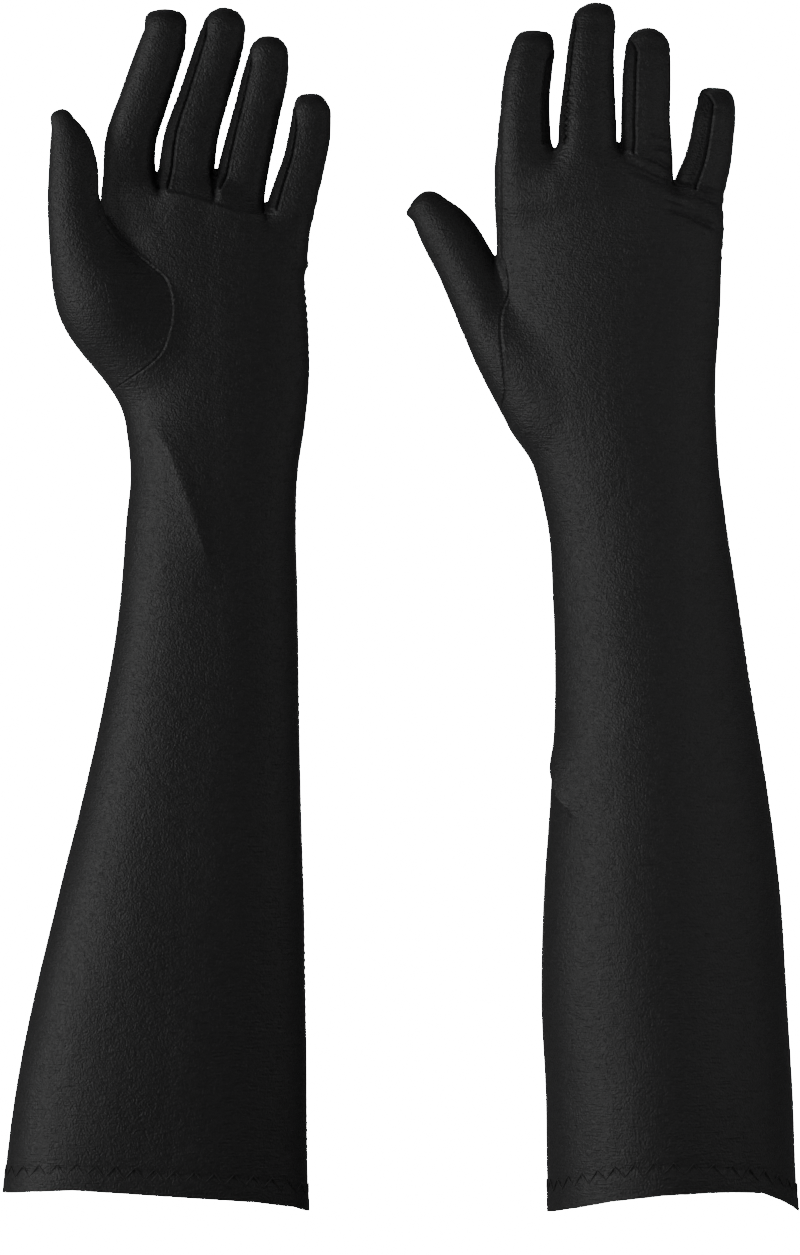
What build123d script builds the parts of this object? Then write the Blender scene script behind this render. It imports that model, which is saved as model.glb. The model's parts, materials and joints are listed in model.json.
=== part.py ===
from build123d import *
from math import radians, tan
import os

# A pair of elbow-length stretch opera gloves, standing upright on their open cuffs.
# +Z runs from the hems to the fingertips, +X from the left-hand glove to the right-hand glove.
# The left-hand glove shows its palm to -Y, the right-hand glove shows its back to -Y.
# The origin is on the floor, midway between the two gloves' outer edges.

# ---- fabric -------------------------------------------------------------------------------
WALL = 1.2          # stand-in thickness of the cloth
PROUD = 0.4         # how far seams and stitches stand off the cloth
HEM_H = 17.0        # height of the turned-up hem, up to the middle of its zigzag row
STITCH_H = 4.8      # height of the zigzag row
SEAM_W = 2.0        # width of the side seam

# ---- hinges -------------------------------------------------------------------------------
CLEAR = 0.4         # free space each side of a fold line
WRIST_Z = 298.0
WRIST_SWING = 21.0  # half-angle of the gap left for the wrist to bend either way
FINGER_CURL = 37.0  # half-angle of the gap on a finger's palm side
FINGER_BACK = 6.5   # half-angle of the gap on a finger's back
THUMB_CURL = 34.0
THUMB_BACK = 2.0
AXIS_SHIFT = 0.33   # a finger's fold line lies this share of its radius towards the palm
FOURCHETTE = 0.70   # a fourchette starts this share of the radius to the finger's side
BIG = 60.0          # half-size of the cutting shapes
REACH = 400.0       # length of the longest cutting shapes

# ---- the two gloves -----------------------------------------------------------------------
# sections of arm and palm: height, left edge, right edge, depth
# fingers: (x, z, radius) at the root, the base fold, the middle fold and the tip's centre
# thumb:   (x, y, z, radius) from the heel of the thumb to the tip's centre
LEFT = {
    "palm": -1,
    "sections": [
        (-4, -160.0, -36.5, 62), (45, -154.5, -37.2, 64), (105, -142.0, -38.0, 64),
        (165, -127.2, -39.6, 60), (225, -114.8, -40.8, 54), (265, -110.2, -41.2, 49),
        (298, -108.0, -40.8, 45), (325, -113.0, -36.6, 38), (355, -116.0, -36.8, 33),
        (385, -118.0, -38.0, 30), (425, -118.4, -36.0, 24),
    ],
    "roof": [(-130, 417), (-68, 416), (-54, 402), (-25, 392)],
    "webs": [(-97.5, 417), (-72.5, 416), (-54.0, 402)],
    "fingers": {
        "index": [(-108.0, 400, 10.8), (-107.2, 428, 10.1), (-99.2, 454, 9.7), (-93.6, 471.6, 8.8)],
        "middle": [(-87.0, 400, 11.5), (-83.8, 428, 10.9), (-75.8, 454, 9.7), (-71.0, 472.4, 9.2)],
        "ring": [(-66.0, 395, 10.2), (-60.3, 427, 9.7), (-55.6, 446, 9.2), (-52.8, 461.5, 8.6)],
        "little": [(-47.5, 385, 9.8), (-41.4, 410, 9.1), (-37.4, 425, 8.5), (-34.9, 438.6, 8.2)],
    },
    "thumb": [(-101, -3, 342, 16.5), (-117, -9, 366, 20.5), (-127, -13, 387, 13.2),
              (-129.8, -14, 408, 10.8), (-132.6, -15, 430, 7.6)],
    "gusset": [(-92, 372), (-92, 349), (-97, 340), (-109, 331), (-160, 331), (-160, 395),
               (-119.5, 395), (-114, 389), (-101, 377)],
}
RIGHT = {
    "palm": 1,
    "sections": [
        (-4, 59.0, 160.0, 90), (45, 58.2, 157.6, 87), (105, 56.6, 154.0, 80),
        (165, 60.0, 147.6, 71), (225, 61.6, 138.0, 58), (265, 60.2, 132.0, 49),
        (298, 53.4, 127.4, 43), (325, 42.0, 126.2, 37), (355, 39.4, 127.6, 33),
        (385, 38.8, 128.2, 30), (430, 38.8, 129.0, 24),
    ],
    "roof": [(30, 427), (104, 427), (113, 411), (140, 405)],
    "webs": [(62.0, 427), (87.4, 427), (111.0, 412)],
    "fingers": {
        "index": [(50.0, 408, 11.3), (49.8, 438, 10.3), (50.9, 453, 9.7), (52.9, 463.8, 8.6)],
        "middle": [(75.0, 408, 12.0), (75.0, 439, 11.2), (75.8, 459, 9.9), (77.2, 474.4, 9.2)],
        "ring": [(98.6, 405, 11.0), (98.3, 439, 10.0), (98.8, 454, 9.8), (99.3, 465.0, 9.0)],
        "little": [(116.0, 392, 10.5), (122.6, 420, 9.3), (125.3, 433, 8.6), (126.4, 441.6, 8.0)],
    },
    "thumb": [(51, 3, 333, 13.6), (36.5, 6, 357, 13.0), (27.0, 9, 377, 11.8),
              (18.6, 12, 392, 10.9), (11.6, 14, 401, 7.6)],
    "gusset": [(38.5, 381), (37, 366), (39.5, 352), (41, 336), (33, 325), (-20, 325), (-20, 420),
               (22, 420)],
}
GLOVES = {"left": LEFT, "right": RIGHT}
FOURCHETTE_SIDES = {"index": (1,), "middle": (-1, 1), "ring": (-1, 1), "little": (-1,)}
FINGER_LEAN = (0.0, 0.5, 2.5, 6.0)   # how far a finger bows towards the palm, root to tip


# ---- lines of the hand --------------------------------------------------------------------
def finger_points(glove, name):
    """Centre points and radii of one finger, root to tip."""
    chain = zip(glove["fingers"][name], FINGER_LEAN)
    return [(Vector(x, glove["palm"] * lean, z), r) for (x, z, r), lean in chain]


def thumb_points(glove):
    """Centre points and radii of the thumb, heel to tip."""
    return [(Vector(x, y, z), r) for x, y, z, r in glove["thumb"]]


def finger_palm(glove):
    """Direction in which the four fingers curl."""
    return Vector(0, glove["palm"], 0)


def thumb_palm(glove):
    """Direction in which the thumb folds, across the palm."""
    return Vector(0.5, 0.87 * glove["palm"], 0).normalized()


def fold(chain, i, curl_way):
    """Fold line at point i of a chain: a point on it, its direction and the finger's own line."""
    (before, _), (here, r), (after, _) = chain[i - 1], chain[i], chain[i + 1]
    along = ((here - before).normalized() + (after - here).normalized()).normalized()
    axis = along.cross(curl_way).normalized()
    palm = axis.cross(along)
    return here + palm * (AXIS_SHIFT * r), axis, along


def wrist_fold(glove):
    """Fold line of the wrist, through the middle of the arm."""
    centre = sum(section_at(glove, WRIST_Z)[1:3]) / 2
    palm = Vector(0, glove["palm"], 0)
    along = Vector(0, 0, 1)
    return Vector(centre, 0, WRIST_Z), along.cross(palm), along


def section_at(glove, z):
    """Edges and depth of arm or palm at height z, between the listed sections."""
    rows = glove["sections"]
    for low, high in zip(rows, rows[1:]):
        if low[0] <= z <= high[0]:
            t = (z - low[0]) / (high[0] - low[0])
            return [a + (b - a) * t for a, b in zip(low, high)]
    raise ValueError(z)


# ---- shapes -------------------------------------------------------------------------------
def arm(glove, grow):
    """Solid arm and palm, its surface moved outwards by grow."""
    outlines = []
    for z, x0, x1, depth in glove["sections"]:
        oval = Ellipse((x1 - x0) / 2 + grow, depth / 2 + grow)
        outlines.append(Plane.XY.offset(z) * (Pos((x0 + x1) / 2, 0) * oval))
    return loft(outlines)


def cone(start, end, grow, before=0.0, after=0.0):
    """Solid round taper from one chain point to the next, run on past either end."""
    (p, rp), (q, rq) = start, end
    along = (q - p).normalized()
    slope = (rq - rp) / (q - p).length
    base = Plane(p - along * before, z_dir=along)
    height = (q - p).length + before + after
    return Solid.make_cone(rp - slope * before + grow, rq + slope * after + grow, height, base)


def ball(point, grow):
    """Solid ball at a chain point."""
    centre, r = point
    return Pos(*centre) * Sphere(r + grow)


def slab(outline, y0, y1):
    """Solid with an outline in X and Z, from y0 to y1."""
    face = make_face(Polyline([(x, y1, z) for x, z in outline], close=True))
    return extrude(face, amount=y1 - y0, dir=(0, -1, 0))


def under_roof(glove, grow):
    """Everything under the line of the webs between the fingers."""
    lid = [(x, z + grow) for x, z in glove["roof"]]
    low = WRIST_Z - BIG
    return slab([(lid[0][0], low)] + lid + [(lid[-1][0], low)], -BIG, BIG)


def below(line, palm_gap, back_gap, side=-1):
    """Everything on the near side of a fold, with a wedge left free for it to close."""
    point, axis, along = line
    palm = axis.cross(along)
    down = side * REACH
    palm_edge = side * (CLEAR + BIG * tan(radians(palm_gap)))
    back_edge = side * (CLEAR + BIG * tan(radians(back_gap)))
    outline = [(0, side * CLEAR), (BIG, palm_edge), (BIG, down), (-BIG, down), (-BIG, back_edge)]
    plane = Plane(point, x_dir=palm, z_dir=-axis)
    return extrude(plane * make_face(Polyline(outline, close=True)), amount=REACH / 2, both=True)


def above(line, palm_gap, back_gap):
    """Everything on the far side of a fold."""
    return below(line, palm_gap, back_gap, side=1)


def fourchette_block(start, end, line, side, after):
    """Block that holds the side wall of a finger between two chain points."""
    (p, rp), (q, rq) = start, end
    along = (q - p).normalized()
    across = line[1] * (1 if line[1].X > 0 else -1)
    across = (across - along * across.dot(along)).normalized() * side
    length = (q - p).length + after
    reach = BIG / 4
    aside = FOURCHETTE * (rp + rq) / 2 + reach / 2
    middle = p + along * (length / 2 - reach / 2) + across * aside
    return Plane(middle, x_dir=across, z_dir=along) * Box(reach, BIG, length + reach)


# ---- pieces -------------------------------------------------------------------------------
def sleeve_pieces(glove, outer, inner, proud):
    """Sleeve, hem, its zigzag row and the side seam."""
    tube, skin = outer - inner, proud - outer
    near = below(wrist_fold(glove), WRIST_SWING, WRIST_SWING)
    upwards = (Align.CENTER, Align.CENTER, Align.MIN)
    from_hem = Pos(0, 0, HEM_H) * Box(REACH, REACH, REACH, align=upwards)
    hem_band = Box(REACH, REACH, HEM_H, align=upwards)
    row = Pos(0, 0, HEM_H) * Box(REACH, REACH, STITCH_H)
    _, _, edge, _ = section_at(glove, 0)
    seam_top = WRIST_Z - BIG / 4
    seam_low = HEM_H + STITCH_H / 2
    seam = Pos(edge, 0, (seam_low + seam_top) / 2) * Box(BIG, SEAM_W, seam_top - seam_low)
    return {
        "sleeve": tube & near & from_hem,
        "hem": tube & hem_band,
        "hem_stitch": skin & row,
        "sleeve_seam": skin & seam,
    }


def hand_pieces(glove, arm_outer, arm_inner, arm_proud):
    """Palm and back of the hand with the finger roots, the webs and the thumb gusset."""
    far = above(wrist_fold(glove), WRIST_SWING, WRIST_SWING)
    outer = arm_outer & far & under_roof(glove, 0)
    inner = arm_inner & under_roof(glove, -WALL)
    for name in glove["fingers"]:
        chain = finger_points(glove, name)
        near = below(fold(chain, 1, finger_palm(glove)), FINGER_CURL, FINGER_BACK)
        outer += cone(chain[0], chain[1], 0, after=4) & near
        inner += cone(chain[0], chain[1], -WALL, after=8)
    chain = thumb_points(glove)
    near = below(fold(chain, 2, thumb_palm(glove)), THUMB_CURL, THUMB_BACK)
    outer += ball(chain[0], 0) + cone(chain[0], chain[1], 0) + ball(chain[1], 0)
    outer += cone(chain[1], chain[2], 0, after=4) & near
    inner += ball(chain[0], -WALL) + cone(chain[0], chain[1], -WALL) + ball(chain[1], -WALL)
    inner += cone(chain[1], chain[2], -WALL, after=8)
    shell = outer - inner

    y0, y1 = sorted((-3 * glove["palm"], BIG * glove["palm"]))
    thumb_part = slab(glove["gusset"], y0, y1)
    webs = None
    for x, z in glove["webs"]:
        block = Pos(x, 0, z) * Box(8, BIG, 12)
        webs = block if webs is None else webs + block
    _, _, edge, _ = section_at(glove, WRIST_Z)
    little_root = glove["fingers"]["little"][0][1]
    seam_low, seam_top = WRIST_Z + BIG / 4, little_root - 6
    seam = Pos(edge, 0, (seam_low + seam_top) / 2) * Box(BIG / 2, SEAM_W, seam_top - seam_low)
    return {
        "hand": shell - thumb_part - webs,
        "thumb_gusset": shell & thumb_part,
        "finger_webs": shell & webs,
        "hand_seam": (arm_proud - arm_outer) & seam,
    }


def stall_pieces(chain, curl_way, gaps, first):
    """Base and tip of a finger or thumb; first is the chain point of its base fold."""
    low, high = fold(chain, first, curl_way), fold(chain, first + 1, curl_way)
    ends = chain[first], chain[first + 1]
    base_tube = cone(*ends, 0, 4, 4) - cone(*ends, -WALL, 6, 6)
    base = base_tube & above(low, *gaps) & below(high, *gaps)
    tip_start, tip_end = chain[first + 1], chain[first + 2]
    tip_solid = cone(tip_start, tip_end, 0, 4) + ball(tip_end, 0)
    tip_hollow = cone(tip_start, tip_end, -WALL, 6) + ball(tip_end, -WALL)
    tip = (tip_solid - tip_hollow) & above(high, *gaps)
    return base, tip


def finger_pieces(glove, name):
    """One finger: base and tip of the trank, and their fourchettes."""
    chain = finger_points(glove, name)
    way = finger_palm(glove)
    base, tip = stall_pieces(chain, way, (FINGER_CURL, FINGER_BACK), 1)
    pieces = {}
    for part, shell, i, after in (("base", base, 1, 8), ("tip", tip, 2, 0)):
        side_walls = None
        for side in FOURCHETTE_SIDES[name]:
            block = fourchette_block(chain[i], chain[i + 1], fold(chain, i, way), side, after)
            side_walls = block if side_walls is None else side_walls + block
        pieces[f"{name}_{part}"] = shell - side_walls
        pieces[f"{name}_{part}_fourchette"] = shell & side_walls
    return pieces


def thumb_pieces(glove):
    """The free part of the thumb."""
    base, tip = stall_pieces(thumb_points(glove), thumb_palm(glove), (THUMB_CURL, THUMB_BACK), 2)
    return {"thumb_base": base, "thumb_tip": tip}


def glove_pieces(glove):
    """Every piece of one glove by name."""
    arms = [arm(glove, grow) for grow in (0, -WALL, PROUD)]
    pieces = {**sleeve_pieces(glove, *arms), **hand_pieces(glove, *arms), **thumb_pieces(glove)}
    for name in glove["fingers"]:
        pieces.update(finger_pieces(glove, name))
    return pieces


def main():
    os.makedirs("parts", exist_ok=True)
    for side, glove in GLOVES.items():
        for name, shape in glove_pieces(glove).items():
            solids = shape.solids()
            piece = solids[0] if len(solids) == 1 else Compound(solids)
            export_step(piece, f"parts/{side}_{name}.step")


if __name__ == "__main__":
    main()
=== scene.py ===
import json
import math

import bpy
import numpy as np
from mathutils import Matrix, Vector


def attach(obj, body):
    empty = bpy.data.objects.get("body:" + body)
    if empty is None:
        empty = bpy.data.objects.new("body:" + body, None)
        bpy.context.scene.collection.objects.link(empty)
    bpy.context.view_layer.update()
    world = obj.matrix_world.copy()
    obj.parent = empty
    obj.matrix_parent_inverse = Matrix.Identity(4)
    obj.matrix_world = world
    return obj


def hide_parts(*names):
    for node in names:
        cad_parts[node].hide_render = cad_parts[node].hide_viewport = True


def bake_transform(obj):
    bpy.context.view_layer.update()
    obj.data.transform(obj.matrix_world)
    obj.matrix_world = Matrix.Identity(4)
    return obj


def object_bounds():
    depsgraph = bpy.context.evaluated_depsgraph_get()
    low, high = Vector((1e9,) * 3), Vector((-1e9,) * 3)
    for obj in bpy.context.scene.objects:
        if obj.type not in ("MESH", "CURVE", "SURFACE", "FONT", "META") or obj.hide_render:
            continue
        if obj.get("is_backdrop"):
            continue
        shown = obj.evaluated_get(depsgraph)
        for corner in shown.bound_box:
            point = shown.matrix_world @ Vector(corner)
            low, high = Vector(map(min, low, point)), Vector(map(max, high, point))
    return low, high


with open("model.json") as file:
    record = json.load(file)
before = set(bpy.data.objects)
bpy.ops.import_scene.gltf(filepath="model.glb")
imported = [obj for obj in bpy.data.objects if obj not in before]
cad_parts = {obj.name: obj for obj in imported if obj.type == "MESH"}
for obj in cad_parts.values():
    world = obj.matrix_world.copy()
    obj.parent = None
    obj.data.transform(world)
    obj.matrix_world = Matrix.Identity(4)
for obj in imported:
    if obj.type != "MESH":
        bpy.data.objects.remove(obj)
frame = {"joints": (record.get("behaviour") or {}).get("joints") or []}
cad_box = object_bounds()

MM = 0.001

# ---- the two gloves, in millimetres
# sections: height, left edge, right edge, depth, roundness (2 is an ellipse)
# digits: x, y, z and radius along the middle line, root to tip
# roof: x and height of the line of the webs between the fingers
# thumb_flat: depth of the thumb as a share of its width
# tips: blunt ends of the fingertips, side to side
# turn: height and slope of the palm's plane, turned about Z
# taper: share of their width that the fingers' side walls lose towards the tip
# knuckles: pad of the knuckles across the back of the hand, where it shows
GLOVES = {
    "left": {
        "palm": -1,
        "sections": [
            (-8, -160.4, -36.4, 62, 2.6), (15, -158.0, -36.8, 63, 2.6),
            (45, -154.4, -37.2, 64, 2.6), (85, -146.6, -37.6, 64, 2.6),
            (125, -137.2, -38.3, 63, 2.6), (165, -127.0, -39.6, 60, 2.6),
            (205, -118.4, -40.3, 56, 2.6), (245, -112.0, -40.9, 52, 2.6),
            (275, -109.6, -41.5, 48, 2.6), (298, -107.6, -40.6, 45, 2.5),
            (315, -109.6, -38.0, 41, 2.4), (335, -113.5, -36.2, 37, 2.4),
            (355, -115.8, -36.6, 34, 2.4), (380, -118.0, -38.2, 31, 2.5),
            (400, -118.6, -37.4, 28, 2.5), (430, -118.6, -35.0, 24, 2.5),
        ],
        "roof": [(-130, 414), (-97, 413), (-73, 413), (-62, 406), (-53, 396), (-25, 386)],
        "digits": {
            "index": [(-107.6, 0, 398, 10.8), (-108.2, 0, 414, 10.5), (-107.6, -1, 429, 10.2),
                      (-103.0, -2, 443, 9.9), (-98.3, -3, 457, 9.7), (-94.6, -5, 468, 9.1),
                      (-93.6, -6, 472.4, 8.3)],
            "middle": [(-87.0, 0, 398, 11.6), (-85.2, 0, 418, 11.2), (-83.5, -1, 430, 10.8),
                       (-79.4, -2, 443, 10.0), (-74.8, -3, 457, 9.7), (-71.4, -5, 468, 9.3),
                       (-70.2, -6, 473.0, 8.6)],
            "ring": [(-66.2, 0, 392, 10.6), (-63.0, 0, 415, 10.2), (-59.8, -1, 429, 9.7),
                     (-56.6, -2, 442, 9.2), (-53.6, -4, 455, 9.0), (-52.5, -6, 462.3, 7.9)],
            "little": [(-47.6, 0, 382, 9.8), (-44.6, 0, 398, 9.8), (-41.4, -1, 409.5, 9.2),
                       (-38.2, -2, 420, 8.5), (-36.1, -3, 430, 8.4), (-35.2, -5, 438.6, 7.8)],
        },
        "thumb": [(-98, -2, 338, 13.0), (-108, -5, 351, 19.0), (-117.0, -8, 366, 20.6),
                  (-124.2, -11, 380, 15.4), (-127.6, -13, 391, 12.6), (-129.8, -14, 403, 10.8),
                  (-130.2, -14.5, 416, 10.0), (-131.6, -15, 427, 8.0), (-134.4, -15.5, 435.6, 4.4)],
        "thumb_flat": 0.72,
        "tips": {
            "index": [(-98.6, -7, 476.6, 3.0), (-89.2, -7, 475.8, 3.2)],
            "little": [(-38.6, -5, 443.6, 2.8), (-33.8, -5, 443.6, 2.8)],
            "thumb": [(-136.4, -15.5, 436.6, 2.6), (-134.6, -15.5, 437.0, 2.6)],
        },
        "turn": [(0, 0), (480, 0)],
        "taper": 0.35,
    },
    "right": {
        "palm": 1,
        "sections": [
            (-8, 59.2, 160.0, 90, 2.0), (15, 58.7, 158.4, 89, 2.0),
            (45, 58.2, 157.2, 87, 2.0), (85, 56.4, 154.8, 82, 2.0),
            (125, 57.2, 152.4, 77, 2.0), (165, 60.0, 147.6, 71, 2.0),
            (205, 61.8, 141.2, 62, 2.0), (245, 61.2, 135.2, 53, 2.0),
            (275, 59.0, 130.6, 47, 2.0), (298, 53.6, 127.4, 44, 2.0),
            (315, 46.8, 126.4, 42, 2.0), (335, 40.8, 126.2, 39, 2.0),
            (355, 39.0, 127.6, 37, 2.0), (380, 38.9, 128.4, 33, 2.0),
            (400, 38.9, 128.4, 28.6, 2.1), (430, 39.0, 131.0, 23, 2.2),
        ],
        "roof": [(30, 424), (62, 424), (87, 425), (100, 419), (111, 407), (140, 398)],
        "digits": {
            "index": [(51.5, 6.5, 382, 5.5), (50.4, 5.3, 400, 9.8), (49.9, 2.8, 420, 11.1),
                      (49.7, 1.4, 433, 10.6), (50.2, 1.6, 445, 9.9), (51.3, 2.4, 455, 9.7),
                      (53.0, 4, 463.4, 9.0)],
            "middle": [(76, 2, 382, 7.5), (75.2, 1, 402, 11.2), (75.0, 0, 424, 11.9), (75.0, 0, 436, 11.5),
                       (75.3, 1, 446, 10.7), (75.8, 2, 457, 9.9), (76.4, 3, 466, 9.5),
                       (77.6, 5, 474.8, 8.8)],
            "ring": [(98.4, -2, 382, 7.5), (98.5, -1, 402, 10.2), (98.5, 0, 424, 10.5), (98.3, 0, 436, 9.9),
                     (98.6, 1, 447, 9.8), (98.8, 2, 457, 9.7), (99.2, 4, 465.2, 8.9)],
            "little": [(117.4, 0, 392, 10.6), (119.6, 0, 409, 10.2), (122.6, 0, 418, 9.5),
                       (124.8, 1, 429, 8.7), (126.0, 2, 438, 8.4), (126.6, 4, 441.8, 7.8)],
        },
        "thumb": [(56, 3, 322, 12.0), (46.4, 4, 338, 12.8), (37.0, 6, 356, 12.8),
                  (31.0, 8, 369, 12.2), (25.4, 10, 381, 11.6), (18.6, 12, 392.5, 10.9),
                  (12.2, 14, 400.6, 8.2)],
        "thumb_flat": 0.92,
        "tips": {
            "index": [(49.9, 4, 469.2, 3.0), (57.7, 4, 469.0, 3.2)],
            "middle": [(78.6, 5, 480.4, 2.9), (82.2, 5, 480.2, 3.2)],
            "little": [(122.6, 4, 446.6, 2.8), (129.6, 4, 446.2, 2.8)],
            "thumb": [(3.6, 14, 400.2, 1.3), (11.0, 14, 402.6, 5.6)],
        },
        "turn": [(0, 0), (190, 0), (300, 0.10), (400, 0.12), (428, 0.02), (480, 0)],
        "taper": 0.0,
        "knuckles": [(52, 2.6, 404, 10.6), (65, -0.3, 407.5, 11.8), (80, -1.9, 409, 11.8)],
    },
}
FINGERS = ("index", "middle", "ring", "little")
DIGITS = FINGERS + ("thumb",)

STEP = np.array([1.1, 1.5, 1.5])   # grid of the cloth mesh, finer in X for the gaps between fingers
# how softly the parts of the worn hand run into each other
WEB_BLEND, FINGER_BLEND, KNUCKLE_BLEND, PALM_BLEND, TIP_BLEND = 9.0, 0.8, 4.0, 5.0, 3.0
THUMB_BLEND, HEEL_BLEND = 3.0, 14.0     # the thumb's free part, and its heel
CLOTH = 0.5           # thickness of the cloth
SQUARE = 2.5          # roundness of the fingers' sections (2 is a circle)
FOLD_HALF = 8.0       # finger panels are cut this far before each of a finger's fold lines
WRIST_HALF = 26.0     # and the hand panel starts this far above the wrist
ROW_HEIGHT = 17.0     # height at which the zigzag row goes round the arm
UV_GIRTH = 0.030      # u runs round the arm or finger as if at this radius, in metres


# ---- small maths
def unit(rows):
    """Rows scaled to length 1."""
    return rows / np.maximum(np.linalg.norm(rows, axis=1), 1e-9)[:, None]


def edges_of(faces):
    sides = faces.shape[1]
    return np.concatenate([faces[:, [k, (k + 1) % sides]] for k in range(sides)])


def turned(rows, turn):
    """Each row turned so that its item number turn comes first."""
    return np.take_along_axis(rows, (turn[:, None] + np.arange(3)) % 3, 1)


def smoothstep(x):
    t = np.clip(x, 0, 1)
    return t * t * (3 - 2 * t)


def smooth_min(a, b, k):
    h = np.maximum(k - np.abs(a - b), 0) / k
    return np.minimum(a, b) - h * h * k / 4


def curve_through(xs, ys, x):
    """Smooth curve through (xs, ys) at x: cubic pieces with even tangents."""
    xs, ys = np.asarray(xs, float), np.asarray(ys, float)
    slopes = np.gradient(ys, xs)
    i = np.clip(np.searchsorted(xs, x) - 1, 0, len(xs) - 2)
    h = xs[i + 1] - xs[i]
    t = np.clip((x - xs[i]) / h, 0, 1)
    a, b = 2 * t**3 - 3 * t**2 + 1, t**3 - 2 * t**2 + t
    c, d = -2 * t**3 + 3 * t**2, t**3 - t**2
    return a * ys[i] + b * h * slopes[i] + c * ys[i + 1] + d * h * slopes[i + 1]


def chain_points(rows, count=15):
    """A digit's middle line, evened out: points with their radii."""
    rows = np.asarray(rows, float)
    run = np.concatenate([[0], np.cumsum(np.linalg.norm(np.diff(rows[:, :3], axis=0), axis=1))])
    at = np.linspace(0, run[-1], count)
    return np.stack([curve_through(run, rows[:, k], at) for k in range(4)], 1)


# ---- the worn hand's surface, as a distance field
def arm_section(glove, z):
    """Middle, half-width, half-depth and roundness of the arm at height z."""
    rows = np.asarray(glove["sections"], float)
    x0, x1, depth, power = (curve_through(rows[:, 0], rows[:, k], z) for k in range(1, 5))
    return (x0 + x1) / 2, (x1 - x0) / 2, depth / 2, power


def arm_field(glove, p):
    cx, a, b, n = arm_section(glove, p[:, 2])
    cy = -np.interp(p[:, 2], *zip(*glove["turn"])) * (p[:, 0] - cx)
    u = np.maximum(np.abs(p[:, 0] - cx) / a, 1e-4)
    v = np.maximum(np.abs(p[:, 1] - cy) / b, 1e-4)
    k = (u**n + v**n) ** (1 / n)
    slope = k ** (1 - n) * np.sqrt((u ** (n - 1) / a) ** 2 + (v ** (n - 1) / b) ** 2)
    around = np.clip((k - 1) / np.maximum(slope, 1e-6), -20, 60)
    return -smooth_min(-around, -(p[:, 2] - web_line(glove, p)) * 0.9, WEB_BLEND)


def web_line(glove, p):
    """Height of the line of the webs, at each point's x."""
    return np.interp(p[:, 0], *zip(*glove["roof"]))


def digit_field(chain, p, flat=1.0, power=2.0):
    """Distance to a digit; far points only get a lower bound."""
    squash = np.array([1, 1 / flat, 1])
    p, chain = p * squash, chain * [*squash, 1]
    low, high = chain[:, :3].min(0) - 25, chain[:, :3].max(0) + 25
    near = np.all((p > low) & (p < high), axis=1)
    best = np.full(len(p), 12.0)
    q = p[near]
    found = np.full(len(q), 60.0)
    for a, b in zip(chain, chain[1:]):
        line = b[:3] - a[:3]
        t = np.clip((q - a[:3]) @ line / (line @ line), 0, 1)
        gap = np.abs(q - a[:3] - t[:, None] * line)
        flatways = np.sqrt(gap[:, 0] ** 2 + gap[:, 2] ** 2)
        away = (flatways**power + gap[:, 1] ** power) ** (1 / power)
        found = np.minimum(found, away - (a[3] + (b[3] - a[3]) * t))
    best[near] = found
    return best


def whole_digit(glove, name, chain, p):
    """Distance to a digit with its blunt tip."""
    flat, power = (glove["thumb_flat"], 2.0) if name == "thumb" else (1.0, SQUARE)
    distance = digit_field(chain, p, flat, power)
    if name in glove["tips"]:
        distance = smooth_min(distance, digit_field(np.array(glove["tips"][name]), p), TIP_BLEND)
    return distance


def glove_field(glove):
    chains = {name: chain_points(rows) for name, rows in glove["digits"].items()}
    chains["thumb"] = chain_points(glove["thumb"], 40)
    heel = glove["thumb"][0][2]

    def field(p):
        arm = arm_field(glove, p)
        high = p[:, 2] > heel - 45
        q = p[high]
        fingers = np.full(len(q), 60.0)
        for name in FINGERS:
            fingers = smooth_min(fingers, whole_digit(glove, name, chains[name], q), FINGER_BLEND)
        if "knuckles" in glove:
            fingers = smooth_min(fingers, digit_field(np.array(glove["knuckles"]), q), KNUCKLE_BLEND)
        hand = smooth_min(arm[high], fingers, PALM_BLEND)
        at_heel = 1 - smoothstep((q[:, 2] - heel - 18) / 32)
        blend = THUMB_BLEND + (HEEL_BLEND - THUMB_BLEND) * at_heel
        arm[high] = smooth_min(hand, whole_digit(glove, "thumb", chains["thumb"], q), blend)
        return arm

    return field, chains


def slope_of(field, p, h=0.05):
    steps = h * np.eye(3)
    return np.stack([(field(p + s) - field(p - s)) / (2 * h) for s in steps], 1)


def onto(field, p, rounds=2):
    """Moves points onto the surface; also gives the outward directions there."""
    for _ in range(rounds):
        g = slope_of(field, p)
        size = np.maximum((g * g).sum(1), 0.2)
        move = np.clip(field(p) / size, -1.5, 1.5)
        p = p - move[:, None] * g
    return p, unit(slope_of(field, p))


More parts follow.
